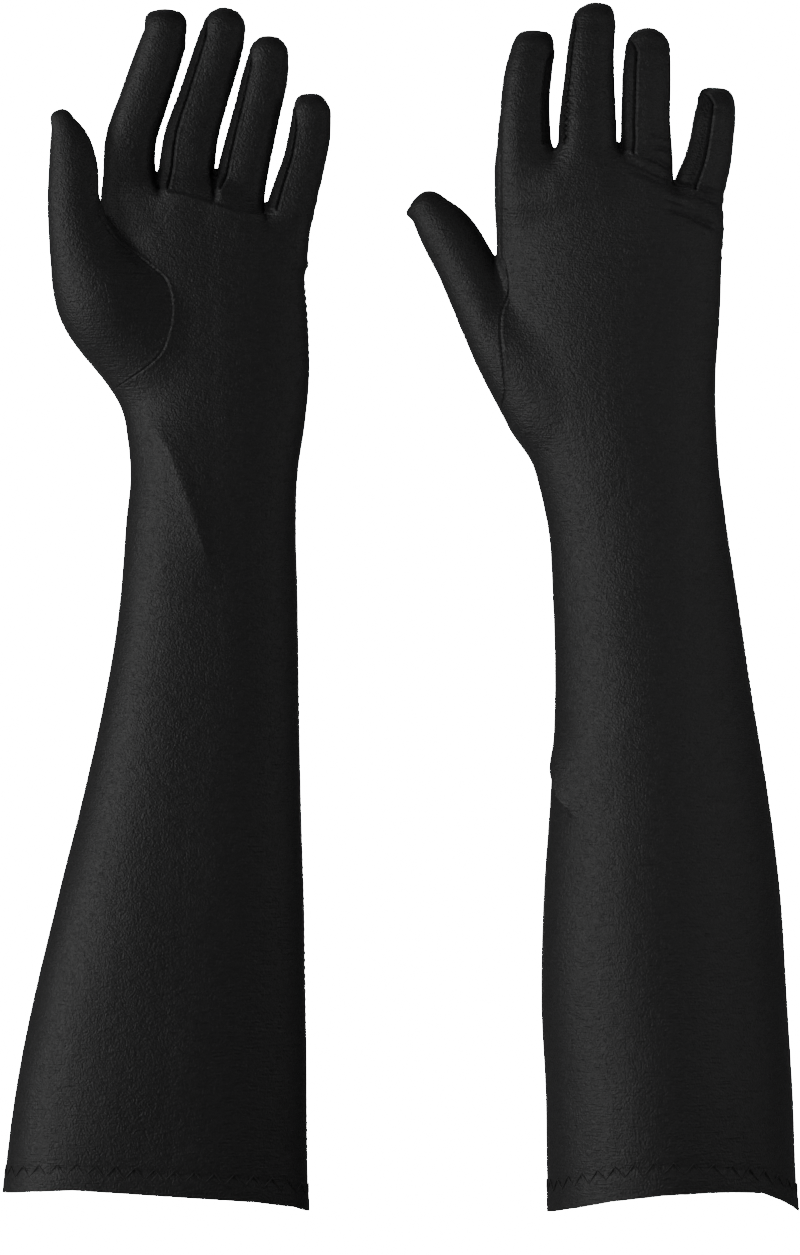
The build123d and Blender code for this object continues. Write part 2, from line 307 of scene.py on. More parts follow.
def surface_net(field, low, high, step):
    """Quads around a field's zero surface: one corner per grid cell that it crosses."""
    axes = [np.arange(a, b + each, each) for a, b, each in zip(low, high, step)]
    shape = [len(a) for a in axes]
    grid = np.stack(np.meshgrid(*axes, indexing="ij"), -1).reshape(-1, 3)
    value = np.concatenate([field(part) for part in np.array_split(grid, 12)]).reshape(shape)
    inside = value < 0
    count = sum(inside[i:shape[0] - 1 + i, j:shape[1] - 1 + j, k:shape[2] - 1 + k].astype(int)
                for i in (0, 1) for j in (0, 1) for k in (0, 1))
    cells = np.argwhere((count > 0) & (count < 8))
    number = np.full(count.shape, -1)
    number[tuple(cells.T)] = np.arange(len(cells))
    total, hits = np.zeros((len(cells), 3)), np.zeros(len(cells))
    ways = np.eye(3, dtype=int)
    for axis in range(3):
        a, b = (ways[k] for k in range(3) if k != axis)
        for start in (0 * a, b, a, a + b):
            end = start + ways[axis]
            v0, v1 = value[tuple((cells + start).T)], value[tuple((cells + end).T)]
            cross = (v0 < 0) != (v1 < 0)
            t = np.where(cross, v0 / np.where(cross, v0 - v1, 1), 0)
            total += cross[:, None] * (cells + start + t[:, None] * (end - start))
            hits += cross
    points = np.array(low) + step * total / np.maximum(hits, 1)[:, None]
    quads = []
    for axis in range(3):
        a, b = (axis + 1) % 3, (axis + 2) % 3
        first = np.take(inside, range(shape[axis] - 1), axis)
        change = np.argwhere(first != np.take(inside, range(1, shape[axis]), axis))
        ok = (change[:, a] > 0) & (change[:, b] > 0)
        ok &= (change[:, a] < shape[a] - 1) & (change[:, b] < shape[b] - 1)
        change = change[ok]
        ea, eb = ways[a], ways[b]
        quad = np.stack([number[tuple((change - s).T)] for s in (0 * ea, ea, ea + eb, eb)], 1)
        outward = first[tuple(change.T)]
        quads.append(np.where(outward[:, None], quad, quad[:, ::-1]))
    return points, np.concatenate(quads)


def evened(field, points, quads, rounds=3):
    """Slides the corners along the surface until the mesh is even."""
    edges = edges_of(quads)
    for _ in range(rounds):
        total, hits = np.zeros_like(points), np.zeros(len(points))
        for a, b in ((0, 1), (1, 0)):
            np.add.at(total, edges[:, a], points[edges[:, b]])
            np.add.at(hits, edges[:, a], 1)
        points, _ = onto(field, 0.4 * points + 0.6 * total / hits[:, None], 1)
    return onto(field, points, 1)


# ---- cutting the cloth into its panels
class Cloth:
    """A glove's surface as triangles, each with the name of its panel."""

    def __init__(self, points, normals, quads):
        self.points, self.normals = points, normals
        p = points[quads]
        short = np.linalg.norm(p[:, 0] - p[:, 2], axis=1) < np.linalg.norm(p[:, 1] - p[:, 3], axis=1)
        quads = np.where(short[:, None], quads, np.roll(quads, -1, axis=1))
        self.tris = np.concatenate([quads[:, [0, 1, 2]], quads[:, [0, 2, 3]]])
        self.panel = np.full(len(self.tris), "sleeve", dtype=object)

    def cut(self, panels, new, value):
        """Splits the named panels where value changes sign, and renames what lies above zero."""
        value = np.where(np.abs(value) < 0.12, 0.0, value)
        mask = np.isin(self.panel, panels)
        tris, sign = self.tris, np.sign(value)
        s = sign[tris]
        mixed = mask & (s.max(1) > 0) & (s.min(1) < 0)
        whole = mask & ~mixed & (s.sum(1) > 0)
        t, s, owner = tris[mixed], s[mixed], self.panel[mixed]
        touching = (s == 0).any(1)
        turn = np.where(touching, (s == 0).argmax(1), (s == -s.sum(1)[:, None]).argmax(1))
        t, s = turned(t, turn), turned(s, turn)
        pairs = np.concatenate([t[touching][:, [1, 2]], t[~touching][:, [0, 1]], t[~touching][:, [0, 2]]])
        fresh, back = np.unique(np.sort(pairs, axis=1), axis=0, return_inverse=True)
        back = back.reshape(-1) + len(self.points)
        a, b = fresh.T
        w = (value[a] / (value[a] - value[b]))[:, None]
        self.points = np.concatenate([self.points, self.points[a] * (1 - w) + self.points[b] * w])
        normals = self.normals[a] * (1 - w) + self.normals[b] * w
        self.normals = np.concatenate([self.normals, unit(normals)])
        n1, n2 = touching.sum(), (~touching).sum()
        m, p, q = back[:n1], back[n1:n1 + n2], back[n1 + n2:]
        one, three = t[touching], t[~touching]
        pieces = [(np.stack(corners, 1), s[kind][:, side], owner[kind]) for kind, side, *corners in (
            (touching, 1, one[:, 0], one[:, 1], m), (touching, 2, one[:, 0], m, one[:, 2]),
            (~touching, 0, three[:, 0], p, q), (~touching, 1, p, three[:, 1], three[:, 2]),
            (~touching, 1, p, three[:, 2], q))]
        self.panel[whole] = new
        names = [np.where(side > 0, new, kept) for _, side, kept in pieces]
        self.panel = np.concatenate([self.panel[~mixed], *names])
        self.tris = np.concatenate([tris[~mixed], *(tri for tri, _, _ in pieces)])

    def refine(self, near, field):
        """Halves the edges whose two ends are both near a seam or crease."""
        edges, back = np.unique(np.sort(edges_of(self.tris), axis=1), axis=0, return_inverse=True)
        split = near[edges].all(1)
        number = np.where(split, np.cumsum(split) - 1 + len(self.points), -1)
        a, b = edges[split].T
        middle, normals = onto(field, (self.points[a] + self.points[b]) / 2, 1)
        self.points = np.concatenate([self.points, middle])
        self.normals = np.concatenate([self.normals, normals])
        mids = number[back.reshape(3, -1).T]
        cuts = (mids >= 0).sum(1)
        # turned so that a lone cut is on the first edge, and a lone whole edge is the last
        lone_whole = np.where(cuts == 2, ((mids < 0).argmax(1) + 1) % 3, 0)
        turn = np.where(cuts == 1, (mids >= 0).argmax(1), lone_whole)
        t, m = turned(self.tris, turn), turned(mids, turn)
        fans = {
            0: [("t0", "t1", "t2")],
            1: [("t0", "m0", "t2"), ("m0", "t1", "t2")],
            2: [("m0", "t1", "m1"), ("t0", "m0", "m1"), ("t0", "m1", "t2")],
            3: [("t0", "m0", "m2"), ("m0", "t1", "m1"), ("m2", "m1", "t2"), ("m0", "m1", "m2")],
        }
        tris, panels = [], []
        for count, fan in fans.items():
            mine = cuts == count
            corners = {f"t{k}": t[mine, k] for k in range(3)} | {f"m{k}": m[mine, k] for k in range(3)}
            for names in fan:
                tris.append(np.stack([corners[name] for name in names], 1))
                panels.append(self.panel[mine])
        self.tris, self.panel = np.concatenate(tris), np.concatenate(panels)

    def drop(self, panel):
        keep = self.panel != panel
        self.tris, self.panel = self.tris[keep], self.panel[keep]


def digit_frame(chain, p, front):
    """Place of points round a digit: run along it, angle from the front, distance and tangent."""
    best = np.full(len(p), 1e9)
    run, at, line = np.zeros(len(p)), np.zeros((len(p), 3)), np.zeros((len(p), 3))
    done = 0.0
    for k, (a, b) in enumerate(zip(chain, chain[1:])):
        d = b[:3] - a[:3]
        length = np.linalg.norm(d)
        d = d / length
        s = (p - a[:3]) @ d
        s_in = np.clip(s, 0 if k else -1e9, 1e9 if k == len(chain) - 2 else length)
        foot = a[:3] + np.clip(s, 0, length)[:, None] * d
        gap = ((p - foot) ** 2).sum(1)
        closer = gap < best
        best[closer], run[closer] = gap[closer], (done + s_in)[closer]
        at[closer], line[closer] = foot[closer], d
        done += length
    out = p - at
    side = unit(np.cross(line, front))
    ahead = np.cross(side, line)
    angle = np.arctan2((out * side).sum(1), (out * ahead).sum(1))
    return run, angle, np.sqrt(best)


FRONT = np.array([0.0, -1.0, 0.0])

# Where each fourchette's seams lie: degrees from the finger's front towards that side.
# The fingers are turned a little, so one side's front seam shows.
FOURCHETTES = {
    "left": {"index": {1: (62, 140)}, "middle": {-1: (24, 110), 1: (62, 142)},
             "ring": {-1: (28, 112), 1: (62, 142)}, "little": {-1: (24, 110)}},
    "right": {"index": {1: (40, 118)}, "middle": {-1: (46, 124), 1: (62, 142)},
              "ring": {-1: (26, 116), 1: (60, 140)}, "little": {-1: (8, 104)}},
}
# How far above the line of the webs these seams end, for each finger.
SEAM_ENDS = {"left": {"index": -4, "middle": -4, "ring": -3, "little": 6},
             "right": {"index": 3, "middle": 3, "ring": 1, "little": 4}}
# The set-in thumb's seam: heights with its place on the palm side and on the back.
THUMB_SEAMS = {
    "left": {"z": [320, 327, 332, 342, 351, 366, 373, 380, 390, 398],
             "palm": [-135, -118, -109, -96, -92.2, -91.4, -94, -102, -114, -119.5],
             "back": [-135, -124, -119, -116, -115, -115, -116, -117, -118, -119.5]},
    "right": {"z": [314, 320, 326, 335, 346, 356, 366, 372, 377, 382],
              "palm": [24, 42, 52, 61, 65, 66, 64, 59, 50, 40],
              "back": [24, 36, 41, 41.5, 40.5, 39.6, 37.4, 37.6, 38.4, 40]},
}
# How the cloth's lower edge rises from the floor, and how far above it the zigzag row is: x with height.
HEM_EDGE = {"left": ([-160, -146, -130, -113, -96, -74, -57, -42, -36],
                     [8.0, 9.2, 10.1, 9.1, 8.0, 6.5, 5.2, 2.8, 0.4]),
            "right": ([58.5, 66, 84, 104, 122, 132, 144, 151, 156, 160],
                      [0.2, 2.2, 6.2, 8.8, 9.8, 9.9, 9.2, 6.1, 3.2, 0])}
HEM_TO_ROW = {"left": ([-160, -36], [8.4, 8.4]),
              "right": ([58, 84, 104, 145, 160], [10.5, 11.5, 11, 7, 8])}


def hem_edge(side, p):
    """Height of the cloth's lower edge: it touches the floor only at its corners."""
    return np.interp(p[:, 0], *HEM_EDGE[side])


def row_height(side, p):
    """Height of the zigzag row's middle line."""
    return hem_edge(side, p) + np.interp(p[:, 0], *HEM_TO_ROW[side])


def thumb_seam_value(side, glove, p):
    """Above zero on the thumb's side of its set-in seam."""
    seam = THUMB_SEAMS[side]
    palm, back = (curve_through(seam["z"], seam[part], p[:, 2]) for part in ("palm", "back"))
    to_back = smoothstep(0.5 - glove["palm"] * p[:, 1] / 16)
    value = palm + (back - palm) * to_back - p[:, 0]
    return np.where((p[:, 2] < seam["z"][0]) | (p[:, 2] > seam["z"][-1] + 60), -30.0, value)


def fourchette_value(chain, taper, span, side_sign, place):
    """Above zero on one side wall of a finger; the wall narrows to a point near the tip."""
    run, angle, distance = place
    length = np.linalg.norm(np.diff(chain[:, :3], axis=0), axis=1).sum()
    low, high = np.radians(span)
    middle, half = (low + high) / 2, (high - low) / 2
    half = half * (1 - taper * np.clip(run / length, 0, 1)) * np.sqrt(np.clip((length + 3 - run) / 7, 0, 1))
    off = np.abs(angle * side_sign - middle)
    return np.where(off > math.pi, -30, (half - off) * np.maximum(distance, 4))


def joint_named(name):
    return next(j for j in frame["joints"] if j["name"] == name)


def digit_folds(side, name, chain):
    """Per digit: where its two bends start and end, as points and the way along it."""
    folds = []
    joints = [joint_named(f"{side}_{name}_{kind}") for kind in ("curl", "tip_curl")]
    lines = [(np.array(joint["pos_m"]) / MM, np.array(joint["axis"])) for joint in joints]
    half = min(FOLD_HALF, 0.5 * np.linalg.norm(lines[1][0] - lines[0][0]))
    for at, axis in lines:
        near = np.argmin(((chain[:, :3] - at) ** 2).sum(1))
        a, b = chain[max(near - 1, 0), :3], chain[min(near + 1, len(chain) - 1), :3]
        along = (b - a) / np.linalg.norm(b - a)
        along = along - axis * (along @ axis)
        along /= np.linalg.norm(along)
        folds.append((at - along * half, at + along * half, along))
    return folds


def nearest_digit(glove, chains, p):
    return np.argmin([whole_digit(glove, name, chains[name], p) for name in DIGITS], axis=0)


def cut_panels(side, glove, cloth, chains):
    """Cuts a glove's surface into sleeve, hem, hand, thumb and finger panels."""
    p = cloth.points
    cloth.cut(["sleeve"], "kept", p[:, 2] - hem_edge(side, p))
    cloth.drop("sleeve")
    p = cloth.points
    cloth.cut(["kept"], "sleeve", p[:, 2] - row_height(side, p))
    cloth.panel[cloth.panel == "kept"] = "hem"
    wrist = joint_named(f"{side}_wrist")["pos_m"][2] / MM
    cloth.cut(["sleeve"], "hand", cloth.points[:, 2] - wrist - WRIST_HALF)
    folds = {name: digit_folds(side, name, chains[name]) for name in DIGITS}
    for i, name in enumerate(DIGITS):
        start, _, along = folds[name][0]
        p = cloth.points
        mine = nearest_digit(glove, chains, p) == i
        value = np.where(mine, (p - start) @ along, -20.0)
        cloth.cut(["hand"], f"{name}_root", value)
        start, _, along = folds[name][1]
        cloth.cut([f"{name}_root"], f"{name}_tip", (cloth.points - start) @ along)
    cloth.cut(["hand"], "thumb_gusset", thumb_seam_value(side, glove, cloth.points))
    for name in FINGERS:
        for sign, span in FOURCHETTES[side][name].items():
            for part in ("root", "tip", "web"):
                place = digit_frame(chains[name], cloth.points, FRONT)
                value = fourchette_value(chains[name], glove["taper"], span, sign, place)
                if part == "web":
                    above = cloth.points[:, 2] - web_line(glove, cloth.points)
                    value = np.minimum(value, above - SEAM_ENDS[side][name])
                    mine = nearest_digit(glove, chains, cloth.points) == DIGITS.index(name)
                    cloth.cut(["hand"], "webs", np.where(mine, value, -20.0))
                else:
                    cloth.cut([f"{name}_{part}"], f"{name}_{part}_fourchette", value)
    return folds


# ---- relief: seams, folds and puckers
# creases, by the shape of their crest: outline in X and Z on the glove's front, height and width
CREASES = {
    "left": {
        "ridge": [([(-104, 326), (-91.5, 304), (-82, 279), (-77, 262), (-74, 248)], 2.3, 9.0)],
        "lip": [([(-42, 402), (-56, 398.5), (-66, 400), (-73, 402.5), (-80, 405), (-95, 408.5),
                  (-104, 414)], 1.1, 1.5)],
        "groove": [
            ([(-70, 398), (-60, 396), (-50, 394.5)], -0.25, 2.2),
            ([(-97.2, 424), (-97.0, 414), (-95.6, 404.5)], -2.2, 1.5),
            ([(-73.4, 424), (-74.0, 414), (-74.2, 401)], -2.4, 1.5),
        ],
    },
    "right": {
        "lip": [([(57.6, 192), (60.6, 178), (64.2, 166), (70, 156)], 3.6, 1.6)],
        "groove": [
            ([(131, 256), (134.5, 238), (138.5, 220)], 0.5, 3.0),
            ([(88, 421), (97, 417.5), (109, 412)], -1.3, 1.2),
            ([(87.4, 434), (88.0, 427), (90.4, 421)], -1.8, 1.4),
            ([(62.8, 434), (62.6, 427), (62.6, 423)], -1.4, 1.3),
            ([(90, 417.6), (99, 414), (107, 410)], -1.0, 1.4),
            ([(97, 422), (103, 420), (110, 416)], -1.1, 1.0),
            ([(99, 425.5), (105, 425), (110, 423)], -0.8, 0.9),
            ([(98, 430.5), (104, 430), (109, 428.6)], -0.7, 0.9),
            ([(106, 411.5), (118, 409.4), (129.5, 406.5)], -1.8, 1.1),
            ([(110, 408.4), (120, 406), (129.5, 402.6)], -1.6, 1.1),
            ([(103, 402.6), (114, 399), (129.5, 391.6)], -1.8, 1.5),
            ([(104, 405.6), (112, 403), (120, 399.4)], -0.9, 1.3),
        ],
    },
}
# extra puckers beside a seam: x, z, reach in x and in z, how many times stronger
PUCKERED = {"left": [], "right": [(66.5, 437, 5, 9, 9.0)]}
# bumps of the side seam below the little finger: height, bulge and width
GATHERS = {
    "left": [(379, 0.9, 1.3), (398, 0.25, 1.8), (404, 0.3, 2.0), (411, 0.2, 1.6)],
    "right": [(381.5, 0.5, 1.3), (386.5, 0.6, 1.6), (393, 0.4, 1.8), (398.5, 0.6, 1.5), (404.5, 0.5, 1.6),
              (409.5, 0.3, 1.3)],
}
SEAMS_FROM = 300      # finger and thumb seams all lie above this height
CREASE_FADE = 0.3     # share of a crease's length over which it fades in and out
LIP_REACH = 6.0       # how far a lip slopes away behind its edge
WAVES = ((0.16, 38, 3), (0.04, 9, 5))     # loose waves of the cloth: height, length and seed
HEM_PROUD, ROW_SUNK = 0.35, 0.30          # the doubled hem, and the groove of its stitching
PUCKER, THUMB_SHARE = 0.10, 0.55          # puckers beside seams, and the thumb seam's share of relief


def along_outline(outline, p):
    """Distance from an outline in X and Z, signed by side, and the share of its length."""
    line = np.asarray(outline, float)
    xz = p[:, [0, 2]]
    lengths = np.linalg.norm(np.diff(line, axis=0), axis=1)
    best, signed, share, done = np.full(len(p), 1e9), np.zeros(len(p)), np.zeros(len(p)), 0.0
    for a, b, length in zip(line, line[1:], lengths):
        d = (b - a) / length
        t = np.clip((xz - a) @ d, 0, length)
        off = xz - a - t[:, None] * d
        gap = np.sqrt((off * off).sum(1))
        closer = gap < best
        best[closer] = gap[closer]
        signed[closer] = (np.sign(off[:, 0] * d[1] - off[:, 1] * d[0]) * gap)[closer]
        share[closer] = ((done + t) / lengths.sum())[closer]
        done += length
    return signed, share


def soft_noise(p, size, seed):
    """Smooth waves in a few fixed directions, about -1 to 1."""
    rng = np.random.default_rng(seed)
    total = np.zeros(len(p))
    for _ in range(7):
        way = rng.normal(size=3)
        way /= np.linalg.norm(way)
        total += np.sin(p @ way * (2 * math.pi / size) * rng.uniform(0.7, 1.5) + rng.uniform(0, 6.3))
    return total / 3.5


def crease_heights(side, p):
    """Height of each crease at p, with the distance from its line."""
    for kind, creases in CREASES[side].items():
        for outline, depth, width in creases:
            signed, share = along_outline(outline, p)
            fade = smoothstep(share / CREASE_FADE) * smoothstep((1 - share) / CREASE_FADE)
            if kind == "ridge":
                profile = np.exp(-np.abs(signed) / width)
            elif kind == "groove":
                profile = np.exp(-(signed / width) ** 2)
            else:
                profile = smoothstep(0.5 - signed / width) * np.exp(np.minimum(signed, 0) / LIP_REACH)
            yield depth * fade * profile, signed, width


def finger_seams(side, glove, p, chains):
    """Distance from the nearest seam of a finger's side walls; far from any, a large one."""
    nearest = np.full(len(p), 30.0)
    near = nearest_digit(glove, chains, p)
    roof = web_line(glove, p)
    for i, name in enumerate(FINGERS):
        place = digit_frame(chains[name], p, FRONT)
        for sign, span in FOURCHETTES[side][name].items():
            value = fourchette_value(chains[name], glove["taper"], span, sign, place)
            below = np.maximum(roof + SEAM_ENDS[side][name] - p[:, 2], 0)
            value = np.sign(value) * np.hypot(value, 1.5 * below)
            mine = (near == i) & (np.abs(value) < np.abs(nearest))
            nearest[mine] = value[mine]
    return nearest


def seam_profile(off):
    """Section of a seam: a narrow valley between two low ridges."""
    return -0.60 * np.exp(-(off / 0.5) ** 2) + 0.22 * np.exp(-((np.abs(off) - 1.25) / 0.55) ** 2)


def sharpened(side, glove, cloth, chains, field):
    """Makes the mesh finer along seams and creases."""
    for reach in (3.6, 2.0):
        p = cloth.points
        near = np.abs(p[:, 2] - row_height(side, p)) < reach / 2
        for _, signed, width in crease_heights(side, p):
            near |= (np.abs(signed) < reach) & (width < 3)
        high = np.flatnonzero(p[:, 2] > SEAMS_FROM)
        q = p[high]
        near[high] |= np.abs(finger_seams(side, glove, q, chains)) < reach
        near[high] |= np.abs(thumb_seam_value(side, glove, q)) < reach
        cloth.refine(near, field)


def relief(side, glove, cloth, chains):
    """How far each point of the cloth stands off the plain surface."""
    p, n = cloth.points, cloth.normals
    height = sum(tall * soft_noise(p, long, seed) for tall, long, seed in WAVES)
    facing = smoothstep(0.2 - 1.6 * n[:, 1])
    for crease, _, _ in crease_heights(side, p):
        height += facing * crease
    # the turned-up hem is a doubled cloth
    edge = p[:, 2] - row_height(side, p)
    height += HEM_PROUD * smoothstep((1.0 - edge) / 1.6) - ROW_SUNK * np.exp(-(edge / 2.0) ** 2)
    # seams draw the cloth in, and it puckers beside them
    high = p[:, 2] > SEAMS_FROM
    q = p[high]
    walls = finger_seams(side, glove, q, chains)
    thumb = thumb_seam_value(side, glove, q)
    height[high] += seam_profile(walls) + THUMB_SHARE * seam_profile(thumb)
    pucker = PUCKER * np.sin(q[:, 2] * 2.6 + np.sin(q[:, 2] * 0.9))
    for x, z, wide, tall, more in PUCKERED[side]:
        pucker *= 1 + more * np.exp(-((q[:, 0] - x) / wide) ** 2 - ((q[:, 2] - z) / tall) ** 2)
    height[high] += pucker * (np.exp(-(walls / 2.2) ** 2) + 0.6 * np.exp(-(thumb / 2.2) ** 2))
    # the seam on the little finger's side, with its gathers below that finger
    cx, a, _, _ = arm_section(glove, p[:, 2])
    lateral = smoothstep((p[:, 0] - cx) / a * 4 - 3)
    height -= 0.35 * lateral * np.exp(-(p[:, 1] / 1.2) ** 2)
    for z, tall, wide in GATHERS[side]:
        height += tall * lateral * np.exp(-((p[:, 2] - z) / wide) ** 2) * np.exp(-(p[:, 1] / 8) ** 2)
    return height


# ---- building the pieces
def add_object(name, data):
    obj = bpy.data.objects.new(name, data)
    bpy.context.scene.collection.objects.link(obj)
    return obj


def smooth_object(name, mesh, material):
    mesh.polygons.foreach_set("use_smooth", np.ones(len(mesh.polygons), bool))
    mesh.materials.append(material)
    return add_object(name, mesh)


def face_normals(points, tris):
    a, b, c = (points[tris[:, k]] for k in range(3))
    return np.cross(b - a, c - a)


def vertex_normals(points, tris):
    flat = face_normals(points, tris)
    total = np.zeros_like(points)
    for k in range(3):
        np.add.at(total, tris[:, k], flat)
    return unit(total)


def thick_piece(name, points, normals, tris, uvs, material):
    """A panel with the cloth's thickness: outer face, inner face and the cut edge between."""
    used, back = np.unique(tris, return_inverse=True)
    tris = back.reshape(-1, 3)
    outer, out = points[used], normals[used]
    inner = outer - CLOTH * out
    count = len(used)
    edges = edges_of(tris)
    keys = np.sort(edges, axis=1)
    _, first, times = np.unique(keys, axis=0, return_index=True, return_counts=True)
    rim = edges[first[times == 1]]
    a, b = rim.T
    rims = np.concatenate([np.stack([b, a, a + count], 1), np.stack([b, a + count, b + count], 1)])
    all_points = np.concatenate([outer, inner])
    all_tris = np.concatenate([tris, tris[:, ::-1] + count, rims])
    rim_way = unit(face_normals(all_points, rims))
    loops = np.concatenate([out[tris].reshape(-1, 3), -out[tris[:, ::-1]].reshape(-1, 3),
                            np.repeat(rim_way, 3, axis=0)])
    mesh = bpy.data.meshes.new(name)
    mesh.vertices.add(len(all_points))
    mesh.vertices.foreach_set("co", (all_points * MM).astype(np.float32).ravel())
    mesh.loops.add(len(all_tris) * 3)
    mesh.loops.foreach_set("vertex_index", all_tris.astype(np.int32).ravel())
    mesh.polygons.add(len(all_tris))
    mesh.polygons.foreach_set("loop_start", np.arange(0, len(all_tris) * 3, 3, dtype=np.int32))
    mesh.polygons.foreach_set("loop_total", np.full(len(all_tris), 3, np.int32))
    layer = mesh.uv_layers.new(name="cloth")
    coords = np.concatenate([uvs[used], uvs[used]])[all_tris]
    period = 2 * math.pi * UV_GIRTH
    coords[..., 0] += period * (coords[..., 0] < coords[..., 0].max(1)[:, None] - period / 2)
    layer.data.foreach_set("uv", coords.astype(np.float32).ravel())
    mesh.update(calc_edges=True)
    mesh.validate()
    obj = smooth_object(name, mesh, material)
    mesh.normals_split_custom_set(loops.astype(np.float32))
    return obj


def panel_uvs(glove, chains, rest):
    """Place of each point on the cloth: round the arm or digit, and along it, in metres."""
    cx, _, _, _ = arm_section(glove, rest[:, 2])
    around = np.arctan2(rest[:, 0] - cx, -rest[:, 1])
    arm = np.stack([around * UV_GIRTH, rest[:, 2] * MM], 1)
    uvs = {"sleeve": arm, "hem": arm, "hand": arm, "webs": arm, "thumb_gusset": arm}
    for name in DIGITS:
        run, angle, _ = digit_frame(chains[name], rest, FRONT)
        base = chains[name][0, 2]
        uvs[name] = np.stack([angle * UV_GIRTH, (base + run) * MM], 1)
    return uvs


def tube(name, paths, radius, material, sides=6):
    """Threads: round tubes along paths of points; a closed path is (points, True)."""
    verts, faces = [], []
    turns = 2 * math.pi * np.arange(sides)[:, None] / sides
    for path, closed in paths:
        path = np.asarray(path, float)
        thick = np.full((len(path), 1, 1), radius)
        ahead = np.roll(path, -1, 0) - np.roll(path, 1, 0)
        if not closed:
            ahead[0], ahead[-1] = path[1] - path[0], path[-1] - path[-2]
            thick[[0, -1]] *= THREAD_END
        ahead = unit(ahead)
        ref = np.where(np.abs(ahead[:, 1:2]) > 0.8, [[1.0, 0, 0]], [[0, 1.0, 0]])
        right = unit(np.cross(ahead, ref))
        up = np.cross(right, ahead)
        rings = np.cos(turns) * right[:, None] + np.sin(turns) * up[:, None]
        at = len(verts) + np.arange(len(path) * sides).reshape(-1, sides)
        verts.extend(((path[:, None] + thick * rings) * MM).reshape(-1, 3).tolist())
        after = np.roll(at, -1, 0)
        quads = np.stack([at, np.roll(at, -1, 1), np.roll(after, -1, 1), after], -1)
        if not closed:
            quads = quads[:-1]
        faces.extend(quads.reshape(-1, 4).tolist())
        if not closed:
            faces.extend([at[0, ::-1].tolist(), at[-1].tolist()])
    mesh = bpy.data.meshes.new(name)
    mesh.from_pydata(verts, [], faces)
    mesh.update()
    return smooth_object(name, mesh, material)


def on_arm(glove, angle, z, off):
    """Point of the arm's surface, stood off by off; angle 0 is the front, 90 degrees is +X."""
    z = np.broadcast_to(z, np.shape(angle)).astype(float)
    cx, a, b, n = arm_section(glove, z)
    s, c = np.sin(angle), np.cos(angle)
    k = (np.abs(s) ** n + np.abs(c) ** n) ** (-1 / n)
    return np.stack([cx + (a + off) * s * k, -(b + off) * c * k, z], -1)


# in millimetres
ZIG_WIDE, ZIG_HIGH = 8.0, 4.6     # pitch and height of the hem's zigzag
THREAD, SEAM_THREAD = 0.28, 0.22  # radius of the hem's thread and of the side seam's
THREAD_END = 0.55                 # share of its radius that a stitch has at its ends
ROW_PROUD = 0.16                  # how far the zigzag's middle line stands off the arm
STITCH, PITCH = 2.3, 3.1          # length of a side seam's stitch, and from one to the next
SEAM_LOW, SEAM_TOP = 22, 388      # where the side seam's thread starts and ends


def zigzag_row(side, glove, material):
    around = np.linspace(0, 2 * math.pi, 1441)[:-1]
    ring = on_arm(glove, around, ROW_HEIGHT, 0)
    run = np.concatenate([[0], np.cumsum(np.linalg.norm(np.diff(ring, axis=0), axis=1))])
    total = run[-1] + np.linalg.norm(ring[0] - ring[-1])
    legs = 2 * round(total / ZIG_WIDE)
    steps = 4
    t = np.arange(legs * steps) / (legs * steps)
    angle = np.interp(t * total, run, around)
    wave = np.abs(((t * legs) % 2) - 1) * 2 - 1
    middle = on_arm(glove, angle, ROW_HEIGHT, 0)
    height = row_height(side, middle) + 0.5 * ZIG_HIGH * wave
    path = on_arm(glove, angle, height, ROW_PROUD)
    return tube(f"{side}_hem_stitch_thread", [(path, True)], THREAD, material)


def seam_row(name, glove, low, high, material):
    """Short stitches down the seam on the little finger's side."""
    paths = []
    for z in np.arange(low, high - 2.0, PITCH):
        heights = np.linspace(z, z + STITCH, 4)
        lift = np.array([-0.25, 0.0, 0.0, -0.25])
        paths.append((on_arm(glove, np.full(4, math.pi / 2), heights, lift - 0.1), False))
    return tube(name, paths, SEAM_THREAD, material, 5)


# ---- materials
def settle(made, **inputs):
    """Sets a node's own sockets."""
    for key, value in inputs.items():
        made.inputs[key.replace("_", " ")].default_value = value


def node(tree, kind, **inputs):
    made = tree.nodes.new(kind)
    settle(made, **inputs)
    return made


def wire(tree, *wires):
    """Links nodes: each wire is a node, its output, the next node and its input."""
    for source, out, target, into in wires:
        tree.links.new(source.outputs[out], target.inputs[into])


def new_material(name):
    """A fresh material with its node tree and its main shader."""
    mat = bpy.data.materials.new(name)
    mat.use_nodes = True
    return mat, mat.node_tree, mat.node_tree.nodes["Principled BSDF"]


